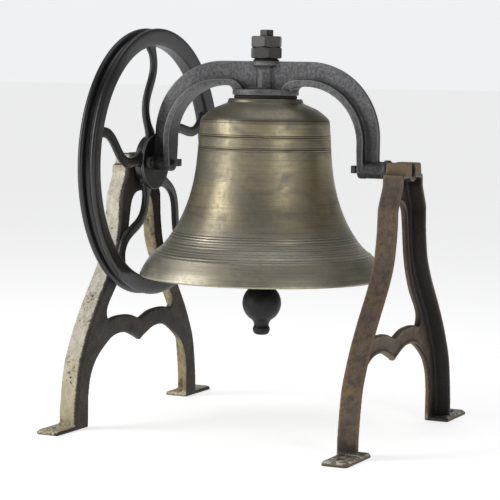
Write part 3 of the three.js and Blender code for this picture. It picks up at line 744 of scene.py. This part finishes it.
def make_yoke():
    """The yoke, melted from web, flanges, foot, boss, barrels and wheel plate."""
    flange, foot = yoke_flange(), yoke_leg_foot()
    neck = [(0, DISC_TOP - 4), (29, DISC_TOP - 4), (29, DISC_TOP), (25, DISC_TOP + 4), (NECK_R, DISC_TOP + 9),
            (NECK_R, YOKE_TOP - 21), (27, YOKE_TOP - 15), (BOSS_R - 1, YOKE_TOP - 11), (BOSS_R, YOKE_TOP - 9),
            (BOSS_R, YOKE_TOP - 6), (BOSS_R - 1.5, YOKE_TOP), (0, YOKE_TOP)]
    disc = [(0, DISC_LOW), (DISC_R - 1, DISC_LOW), (DISC_R, DISC_LOW + 1.5), (DISC_R, DISC_TOP - 3),
            (DISC_R - 3, DISC_TOP), (0, DISC_TOP)]
    flange_left, foot_left = flipped(flange, X), flipped(foot, X)
    item = make_object("yoke_casting", joined(
        yoke_web(), flange, flange_left, foot, foot_left, lathe(disc, 96), lathe(neck, 64),
        rod_x(EYE_R, EYE_X, BARREL_X), rod_x(EYE_R, -PLATE_X, -EYE_X), wheel_plate(),
    ))
    cast(item, 1.7, 7, 0.5)
    cut(item, rod(HANGER_BORE, DISC_LOW - 5, YOKE_TOP + 5),
        rod_x(JOURNAL_BORE, EYE_X + EYE_WALL, BARREL_X + 5),
        rod_x(JOURNAL_BORE, -PLATE_X - 5, -EYE_X - EYE_WALL), *plate_pockets())
    smooth_faces(item)
    grey_dark, grey_light = (0.076, 0.076, 0.078), (0.195, 0.195, 0.200)
    iron = casting("yoke_iron", grey_dark, grey_light, 0.40, 0.5, with_plate=True)
    finish_piece(item, "yoke", "swing", iron)


# ---- wheel ----


def rim_section():
    """Rim with a round-bottomed rope groove between two rolled flanges."""
    inner = WHEEL_R - RIM_DEPTH
    roll = WHEEL_HALF - 8
    half = spline([(WHEEL_R - GROOVE, 0), (WHEEL_R - GROOVE + 3, 7), (WHEEL_R - 4, 10.5), (WHEEL_R, roll - 1),
                   (WHEEL_R - 2, roll + 6.5), (WHEEL_R - 9, WHEEL_HALF), (WHEEL_R - 26, WHEEL_HALF - 1.5),
                   (inner + 5, WHEEL_HALF - 4), (inner, WHEEL_HALF - 10)], 6)
    return half + [(a, -b) for a, b in reversed(half[1:])]


def spoke_sway(radius):
    """How far a spoke's middle line lies beside the straight line at a radius."""
    return SPOKE_SWAY + SPOKE_SWAY * math.cos(math.pi * (radius - 135) / 110)


def spoke():
    """S-curved spoke with a rounded section that widens into hub and rim."""
    start, end, steps, around = HUB_R - 22, WHEEL_R - RIM_DEPTH + 10, 46, 20
    mesh = bmesh.new()
    rings = []
    for i in range(steps + 1):
        radius = start + (end - start) * i / steps
        slope = (spoke_sway(radius + 1) - spoke_sway(radius - 1)) / 2
        along = Vector((0, -slope, 1)).normalized()
        across = Vector((0, along.z, -along.y))
        centre = Vector((WHEEL_MID, -spoke_sway(radius), radius))
        flare = 1 + 0.55 * math.exp(-((end - 10 - radius) / 12) ** 2)
        flare += 0.45 * math.exp(-((radius - HUB_R - 2) / 13) ** 2)
        ring = []
        for k in range(around):
            angle = 2 * math.pi * k / around
            a, b = math.cos(angle), math.sin(angle)
            wide = math.copysign(abs(a) ** 0.6, a) * SPOKE_WIDE / 2 * flare
            deep = math.copysign(abs(b) ** 0.6, b) * SPOKE_THICK / 2
            ring.append(mesh.verts.new(centre + across * wide + UNIT_X * deep))
        rings.append(ring)
    skin_rings(mesh, rings)
    return mesh


def make_wheel():
    """The rope wheel, melted from rim, hub and spokes, with a recess for the yoke's plate."""
    rim = turned_x([(radius, x + WHEEL_MID) for radius, x in rim_section()], 200)
    inner_x = -PLATE_X - GAP
    hub = turned_x([(0, HUB_OUTER), (HUB_R - 3, HUB_OUTER), (HUB_R, HUB_OUTER + 3), (HUB_R, inner_x),
                        (0, inner_x)], 96)
    spokes = [moved(spoke(), 0, 0, AXIS_Z, 360 * i / SPOKES) for i in range(SPOKES)]
    item = make_object("rope_wheel", joined(rim, hub, *spokes))
    cast(item, 1.9, 5, 0.5)
    cut(item, rod_x(PLATE_R + 1, inner_x, inner_x + 12, 96),
        rod_x(JOURNAL_BORE, HUB_OUTER - 5, inner_x + 5))
    smooth_faces(item)
    black = casting("wheel_iron", WHEEL_BLACK, (0.015, 0.0145, 0.0155), 0.27, 0.2, 0.8)
    finish_piece(item, "wheel", "swing", black)


# ---- stands ----


def leg_outside():
    """Outer edge of a leg from the head to the foot."""
    curve = spline([(101, 552), (102, 520), (107, 482), (121, 430), (153, 378), (206, 312), (247, 256),
                    (276, 207), (298, 160), (310, 105), (SHIN_Y, 45)], 8)
    return [(70, SHELF_Z), (72, 612), (84, 590), (99, 563)] + curve + [(SHIN_Y, 0.5)]


def lower_opening():
    """Edge of the opening under the crossbar, from the middle out to the heel."""
    return spline([(0, 187), (21, 197), (74, 214), (132, 213), (178, 194), (224, 162), (250, 123),
                   (HEEL_Y, 79)], 8) + [(HEEL_Y, 0.5)]


def upper_opening():
    """Edge of the opening above the crossbar, from its top down the leg and along the crossbar."""
    side = spline([(0, 572), (30, 567), (49, 551), (59, 523), (73, 449), (89, 399), (118, 347), (158, 303),
                   (172, 281), (171, 265)], 8)
    return side + spline([(165, 254), (130, 260), (95, 261), (50, 257), (0, 242)], 8)


def head_block():
    """Right half of the bearing head, with half of the open trough for the journal."""
    outline = [(TROUGH_R, HEAD_TOP), (47, HEAD_TOP), (50, HEAD_TOP - 2), (55, SHELF_Z), (60, SHELF_Z),
               (60, SHELF_Z - 10)]
    outline += arc(0, AXIS_Z, TROUGH_OUTER, -35, -90, 16)
    outline += arc(0, AXIS_Z, TROUGH_R, 270, 360, 12)
    return plate(outline, FACE_X, FACE_X + HEAD_WIDE, "X")


def trough(side):
    """Cutter for the open trough in a stand's head, with room above it."""
    outline = arc(0, AXIS_Z, TROUGH_R, 180, 360, 32) + [(TROUGH_R, HEAD_TOP + 9), (-TROUGH_R, HEAD_TOP + 9)]
    ends = sorted((side * (FACE_X - 9), side * (FACE_X + HEAD_WIDE + 9)))
    return plate(outline, *ends, "X")


def foot_plate():
    """Foot with rounded corners and a top that falls away to its edges."""
    corner, small = 12, 4
    hole = arc((FACE_X + FOOT_X) / 2, (SHIN_Y + TOE_Y) / 2, 8, 0, 350, 35)
    layers = []
    for edge, top in ((0, 6), (2.5, 9.5), (6, FOOT_THICK)):
        outline = [(FACE_X + edge / 2, HEEL_Y), (FOOT_X - edge, HEEL_Y)]
        outline += arc(FOOT_X - corner - edge, TOE_Y - corner - edge, corner, 0, 90, 12)
        outline += arc(FACE_X + small + edge / 2, TOE_Y - small - edge, small, 90, 180, 6)
        layers.append(plate(outline, 0, top, "Z", [hole]))
    return joined(*layers)


def bead(points, x, radius, around=10):
    """Round rod that follows a run of (y, z) points in the plane at x."""
    mesh = bmesh.new()
    rings = []
    for point, along in zip(points, directions(points)):
        across = UNIT_X.cross((0, *along))
        ring = []
        for k in range(around):
            angle = 2 * math.pi * k / around
            offset = (UNIT_X * math.cos(angle) + across * math.sin(angle)) * radius
            ring.append(mesh.verts.new(Vector((x, *point)) + offset))
        rings.append(ring)
    skin_rings(mesh, rings)
    return mesh


def make_stand(name, node, side, material):
    """A stand, melted from web, ribs, head, feet and rolled edges; the left one is turned round."""
    leg = leg_outside()
    half = leg + lower_opening()[::-1]
    opening = upper_opening()
    web = plate(half + mirrored(half)[1:], FACE_X, FACE_X + LEG_WEB, "X", [opening + mirrored(opening)[1:-1]])
    rib = plate(leg + inset(leg, RIB)[::-1], FACE_X, FACE_X + LEG_FLANGE, "X")
    head, foot = head_block(), foot_plate()
    roll_x = FACE_X + LEG_WEB - 1
    rolls = [bead(inset(run, -ROLL_IN), roll_x, ROLL_R) for run in (opening, lower_opening()[:-1])]
    parts = [rib, head, foot, *rolls]
    item = make_object(name, joined(web, *[flipped(part, Y) for part in parts], *parts))
    cast(item, 2.2, 15, 0.6)
    if side < 0:
        item.data.transform(Matrix.Rotation(math.pi, 4, "Z"))
    cut(item, trough(side))
    smooth_faces(item)
    finish_piece(item, node, "stands", material)


# ---- turned pieces and fasteners ----


def square(width, turn=0):
    """Corners of a square head."""
    return arc(0, 0, width / math.sqrt(2), 45 + turn, 315 + turn, 3)


def hexagon(across, turn=0):
    """Corners of a hexagon with a distance across its flats."""
    return arc(0, 0, across / math.sqrt(3), turn, turn + 300, 5)


def chamfered(outline, reach, low, high, axis, bevel=3.0):
    """Head or nut cut from bar: its corners are turned down at both faces."""
    item = make_object("blank", plate(outline, low, high, axis))
    corner = max(math.hypot(a, b) for a, b in outline) + 0.2
    start, end, face = low - 0.1, high + 0.1, reach - 0.6
    turned = [(0, start), (face, start), (corner, low + bevel), (corner, high - bevel), (face, end), (0, end)]
    combine(item, lathe(turned, 64, axis), "INTERSECT")
    mesh = bmesh.new()
    mesh.from_mesh(item.data)
    bpy.data.objects.remove(item)
    mesh.transform(Matrix.Scale(1 / MM, 4))
    return mesh


def threaded(radius, low, high, pitch=2.0, depth=0.9):
    """Profile of a rod with thread ridges and a chamfered end."""
    turns = max(1, int((high - low) / pitch))
    points = []
    for i in range(turns):
        base = low + i * pitch
        points += [(radius - depth, base), (radius, base + pitch * 0.5)]
    return points + [(radius - depth, low + turns * pitch), (radius - 2, high)]


def make_hanger():
    """Hanger bolt: a clevis under a round head, a threaded shank and a square end."""
    top = node_span("hanger_bolt", Z)[1]
    thread = threaded(HANGER_R, THREAD_LOW, THREAD_TOP)
    profile = [(0, HEAD_LOW), (HEAD_R - 2, HEAD_LOW), (HEAD_R, HEAD_LOW + 2), (HEAD_R, HEAD_HIGH),
               (HANGER_R, HEAD_HIGH), (HANGER_R, THREAD_LOW)] + thread + [(0, THREAD_TOP)]
    end = chamfered(square(STUB, STUB_TURN), STUB / 2 + 3, THREAD_TOP - 4, top, "Z", 1.5)
    cheek = [(-CLEVIS_R, HEAD_LOW + 1)] + arc(0, PIVOT_Z, CLEVIS_R, 180, 360, 32) + [(CLEVIS_R, HEAD_LOW + 1)]
    hole = arc(0, PIVOT_Z, BOLT_BORE, 0, 348, 29)
    starts = (CLEVIS_GAP / 2, -CLEVIS_GAP / 2 - CHEEK)
    cheeks = [plate(cheek, start, start + CHEEK, "X", [hole]) for start in starts]
    item = make_object("hanger_bolt_forging", joined(lathe(profile, 64), end, *cheeks))
    crisp(item, 0.5)
    finish_piece(item, "hanger_bolt", "swing", fastener_iron)


def make_nut(name, node, across, axis, turn, place=(0, 0), bore=HANGER_BORE):
    """Hexagon nut that fills the box of its CAD node along its axis."""
    low, high = node_span(node, X if axis == "X" else Z)
    centre = (0, *place)
    mesh = chamfered(hexagon(across, turn), across / 2, low, high, axis)
    item = make_object(name, moved(mesh, *centre))
    cut(item, rod(bore, low - 5, high + 5, axis, centre))
    crisp(item, 0.7)
    finish_piece(item, node, "swing", fastener_iron)


def make_ring(name, node, bore, material, edge=1.0, bevel=0.0):
    """Flat ring that fills the box of its CAD node, with a sloping top edge where one is given."""
    low, high = node_span(node, Z)
    outer = node_span(node, X)[1]
    profile = [(bore, low), (outer - edge, low), (outer, low + edge)]
    if not bevel:
        profile.append((outer, high - edge))
    profile += [(outer - bevel - edge, high), (bore, high)]
    item = make_object(name, lathe(profile, 96))
    smooth_faces(item)
    finish_piece(item, node, "swing", material)


def make_gudgeon(name, node, side, collar_low, collar_high):
    """Turned pin with a collar and a blind bore for its bolt."""
    end = max(abs(value) for value in node_span(node, X))
    start = EYE_X + EYE_WALL + GAP
    depth = start + GUDGEON_BORE
    bevel = 1.5
    profile = [(0, depth), (BOLT_BORE, depth), (BOLT_BORE, start), (JOURNAL_R, start),
               (JOURNAL_R, collar_low), (COLLAR_R - bevel, collar_low), (COLLAR_R, collar_low + bevel),
               (COLLAR_R, collar_high - bevel), (COLLAR_R - bevel, collar_high), (JOURNAL_R, collar_high),
               (JOURNAL_R, end - bevel), (JOURNAL_R - bevel, end), (0, end)]
    item = make_object(name, turned_x([(radius, side * x) for radius, x in profile], 64))
    smooth_faces(item)
    finish_piece(item, node, "swing", fastener_iron)


def make_bolt(name, node, shape, reach, head, shank, y=0, z=AXIS_Z, side=1, thread=False):
    """Bolt along X; head and shank are spans measured from the middle."""
    low, high = sorted(side * value for value in head)
    head_mesh = moved(chamfered(shape, reach, low, high, "X", 1.5), 0, y, z)
    start, end = sorted(side * value for value in shank)
    ridges = threaded(BOLT_R, start, end - 0.2, 1.75, 0.8) if thread else [(BOLT_R, start), (BOLT_R, end)]
    shank_mesh = lathe([(0, start)] + ridges + [(0, end)], 32, "X", (0, y, z))
    item = make_object(name, joined(head_mesh, shank_mesh))
    crisp(item, 0.5, 40)
    finish_piece(item, node, "swing", fastener_iron)


def make_clapper():
    """The clapper: an eye, a shank that thickens downwards, the ball and its tail."""
    low = node_span("clapper", Z)[0]
    eye_low = PIVOT_Z - 12
    shank = spline([(8, eye_low), (9.5, PIVOT_Z - 90), (12, PIVOT_Z - 250), (16, BALL_Z + 75),
                    (20, BALL_Z + 51), (27, BALL_Z + 41)], 10)
    ball = arc(0, BALL_Z, BALL_R, 52, -60, 34)
    under = BALL_Z - BALL_R
    tail = spline([(TAIL_R - 1.5, under + 0.5), (TAIL_R - 3, under - 8), (TAIL_R, low + 16),
                   (TAIL_R - 2, low + 6), (TAIL_R - 9, low + 0.8), (0, low)], 8)
    turned = lathe([(0, eye_low)] + shank + ball + tail, 96)
    pivot = (0, 0, PIVOT_Z)
    item = make_object("clapper_forging", joined(turned, rod(15, -8, 8, "X", pivot, 64)))
    cast(item, 1.3, 4, 0.5)
    cut(item, rod(BOLT_BORE, -40, 40, "X", pivot, 40))
    smooth_faces(item)
    black = casting("clapper_iron", (0.004, 0.004, 0.004), (0.013, 0.0125, 0.0125), 0.40, 0.25)
    finish_piece(item, "clapper", "clapper", black)


# ---- the whole bell ----

fastener_iron = casting("fastener_iron", (0.027, 0.026, 0.025), (0.078, 0.075, 0.071), 0.36, 0.55, wear=0.3)

make_bell()
make_ring("leather_gasket", "crown_gasket", CROWN_BORE, leather(), 1.5)
make_ring("washer_under_crown", "crown_washer", CROWN_BORE, fastener_iron)
make_ring("bevelled_washer", "yoke_washer", HANGER_BORE, fastener_iron, 0.8, 4.5)
make_hanger()
make_nut("lower_hexagon_nut", "clamp_nut", HANGER_NUT, "Z", 4)
make_nut("upper_hexagon_nut", "lock_nut", HANGER_NUT, "Z", -12)
make_clapper()
make_bolt("clapper_pin_bolt", "clapper_pin", hexagon(PIN_NUT), PIN_NUT / 2, (18.3, 26), (-30, 19), z=PIVOT_Z)
make_nut("clapper_pin_nut_hexagon", "clapper_pin_nut", PIN_NUT, "X", 0, (0, PIVOT_Z), BOLT_BORE)
make_yoke()
make_wheel()
head, shank = (HUB_OUTER - WHEEL_BOLT_HEAD, HUB_OUTER - GAP), (HUB_OUTER - 1, NUT_X + 15)
for place, side in (("front", -1), ("rear", 1)):
    bolt_y = side * WHEEL_BOLT_Y
    make_bolt(f"wheel_bolt_{place}_square", f"wheel_bolt_{place}", square(WHEEL_SQUARE),
              WHEEL_SQUARE / 2 + 2.5, head, shank, bolt_y, thread=True)
    make_nut(f"wheel_nut_{place}_hexagon", f"wheel_nut_{place}", WHEEL_NUT, "X", 0,
             (bolt_y, AXIS_Z), BOLT_BORE)
make_gudgeon("gudgeon_left_turned", "gudgeon_left", -1, -HUB_OUTER + GAP, COLLAR_END_LEFT)
make_gudgeon("gudgeon_right_turned", "gudgeon_right", 1, BARREL_X + GAP, COLLAR_END_RIGHT)
head, shank = (EYE_X - 8 - GUDGEON_HEAD, EYE_X - 8), (EYE_X - 9, EYE_X + 28)
for place, side in (("left", -1), ("right", 1)):
    make_bolt(f"gudgeon_bolt_{place}_square", f"gudgeon_bolt_{place}", square(GUDGEON_SQUARE),
              GUDGEON_SQUARE / 2 + 2.5, head, shank, side=side)
make_stand("left_stand_casting", "stand_left", -1, painted_left())
make_stand("right_stand_casting", "stand_right", 1, painted_right())

# ---- camera, floor and light, in metres ----

YAW, PITCH, ROLL = (math.radians(angle) for angle in (25.35, -5.08, 1.03))
CAMERA_PLACE, LENS, SENSOR = (1.978, -4.249, 0.853), 136.3, 36
FLOOR_SIZE, FLOOR_GLOW = 300, 0.64
FROM_BEHIND = (-0.428, 0.904, 0.0)
WORLD_FRONT, WORLD_BACK, BACKDROP = 0.20, 0.86, 0.89
AIM = (0, 0, 0.55)


def make_camera():
    """The photograph's view: from the front right, a little below the top, with a long lens."""
    forward = Vector((-math.sin(YAW) * math.cos(PITCH), math.cos(YAW) * math.cos(PITCH), math.sin(PITCH)))
    level = Vector((math.cos(YAW), math.sin(YAW), 0))
    upward = level.cross(forward)
    right = level * math.cos(ROLL) + upward * math.sin(ROLL)
    up = upward * math.cos(ROLL) - level * math.sin(ROLL)
    data = bpy.data.cameras.new("camera")
    data.lens = LENS
    data.sensor_width = SENSOR
    camera = add_object("camera", data)
    turn = Matrix((right, up, -forward)).transposed().to_4x4()
    camera.matrix_world = Matrix.Translation(CAMERA_PLACE) @ turn
    bpy.context.scene.camera = camera


def make_floor():
    """White ground that glows a little, so that it stays pale under the feet."""
    mesh = bmesh.new()
    bmesh.ops.create_grid(mesh, x_segments=1, y_segments=1, size=FLOOR_SIZE)
    floor = add_object("floor", mesh_data(mesh, "floor"))
    material = bpy.data.materials.new("floor")
    material.use_nodes = True
    shader = material.node_tree.nodes["Principled BSDF"]
    shader.inputs["Base Color"].default_value = (0.86, 0.86, 0.86, 1)
    shader.inputs["Emission Color"].default_value = (1, 1, 1, 1)
    shader.inputs["Emission Strength"].default_value = FLOOR_GLOW
    shader.inputs["Roughness"].default_value = 0.9
    shader.inputs["Specular IOR Level"].default_value = 0.1
    floor.data.materials.append(material)


def soft_light(name, place, width, height, watts):
    """Rectangular lamp that shines at the middle of the bell."""
    data = bpy.data.lights.new(name, "AREA")
    data.shape = "RECTANGLE"
    data.size, data.size_y = width, height
    data.energy = watts
    lamp = add_object(name, data)
    lamp.location = place
    lamp.rotation_mode = "QUATERNION"
    lamp.rotation_quaternion = (Vector(AIM) - Vector(place)).to_track_quat("-Z", "Y")


def make_world():
    """Pale studio: an even backdrop, and light that is stronger from behind the bell."""
    world = bpy.data.worlds.new("studio")
    bpy.context.scene.world = world
    world.use_nodes = True
    tree = world.node_tree
    place = tree.nodes.new("ShaderNodeTexCoord")
    toward = tree.nodes.new("ShaderNodeVectorMath")
    toward.operation = "DOT_PRODUCT"
    toward.inputs[1].default_value = FROM_BEHIND
    tree.links.new(place.outputs["Generated"], toward.inputs[0])
    spread = tree.nodes.new("ShaderNodeMapRange")
    spread.interpolation_type = "SMOOTHSTEP"
    settings = {"From Min": 0.80, "From Max": 0.97, "To Min": WORLD_FRONT, "To Max": WORLD_BACK}
    for name, value in settings.items():
        spread.inputs[name].default_value = value
    tree.links.new(toward.outputs["Value"], spread.inputs["Value"])
    seen = tree.nodes.new("ShaderNodeMix")
    tree.links.new(tree.nodes.new("ShaderNodeLightPath").outputs["Is Camera Ray"], seen.inputs["Factor"])
    tree.links.new(spread.outputs["Result"], seen.inputs["A"])
    seen.inputs["B"].default_value = BACKDROP
    shade = tree.nodes["Background"]
    shade.inputs["Color"].default_value = (0.98, 0.99, 1.0, 1)
    tree.links.new(seen.outputs["Result"], shade.inputs["Strength"])


bpy.context.scene.view_settings.view_transform = "Standard"
make_camera()
make_floor()
make_world()
soft_light("key", (-3.0, -2.45, 1.8), 1.9, 3.2, 92)
soft_light("fill", (3.1, -2.1, 1.5), 1.1, 2.4, 20)
soft_light("top", (0.0, 0.6, 3.6), 2.0, 2.0, 16)
